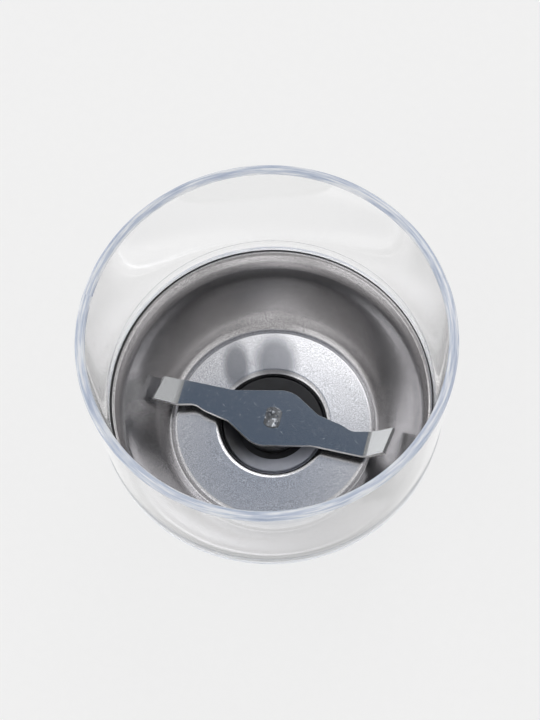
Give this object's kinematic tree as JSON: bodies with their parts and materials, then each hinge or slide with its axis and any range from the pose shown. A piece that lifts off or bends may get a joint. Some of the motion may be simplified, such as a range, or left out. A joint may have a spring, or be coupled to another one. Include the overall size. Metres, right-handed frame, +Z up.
{
  "type": "coffee grinder cup",
  "caption": "Removable grinding cup: clear tapered wall over a steel bowl with a raised middle, a spinning bent-tip blade and a bayonet base with a dog coupling.",
  "frame": {"origin": "on the ground under the middle of the cup", "axes": "+Z up along the axis that the blade turns about, +X along the blade at rest"},
  "size_m": [0.094, 0.094, 0.09],
  "materials": {
    "clear_plastic": "clear polished moulding",
    "bowl_steel": "satin drawn stainless",
    "base_plastic": "fine moulded texture",
    "zinc_steel": "bright zinc plate",
    "hub_plastic": "moulded, worn smooth",
    "black_silicone": "matte silicone",
    "sintered_bronze": "sintered, oiled",
    "oil_felt": "pressed wool felt",
    "seal_rubber": "moulded rubber",
    "nylon": "black filled nylon",
    "shaft_steel": "ground stainless",
    "blade_steel": "stamped satin stainless with fine scratches",
    "collar_plastic": "moulded",
    "spring_steel": "oiled spring steel",
    "coupling_plastic": "glass-filled nylon"
  },
  "bodies": {
    "cup": {"clear_wall": "clear_plastic", "steel_bowl": "bowl_steel", "rim_gasket": "black_silicone", "cup_base": "base_plastic", "bayonet_ring": "base_plastic", "base_plate": "base_plastic", "base_screws": "zinc_steel", "bearing_housing": "hub_plastic", "housing_gasket": "black_silicone", "housing_washer": "zinc_steel", "housing_nut": "zinc_steel", "upper_bush": "sintered_bronze", "lower_bush": "sintered_bronze", "oil_felt": "oil_felt", "shaft_seal": "seal_rubber", "upper_thrust_washer": "nylon"},
    "rotor": {"drive_shaft": "shaft_steel", "blade": "blade_steel", "blade_collar": "collar_plastic", "lower_thrust_washer": "nylon", "retaining_clip": "spring_steel", "drive_coupling": "coupling_plastic", "coupling_pin": "spring_steel"}
  },
  "joints": [
    {"name": "blade_spin", "type": "hinge", "parent": "cup", "child": "rotor", "pos_m": [0, 0, 0.0293], "axis": [0, 0, 1], "continuous": true}
  ]
}
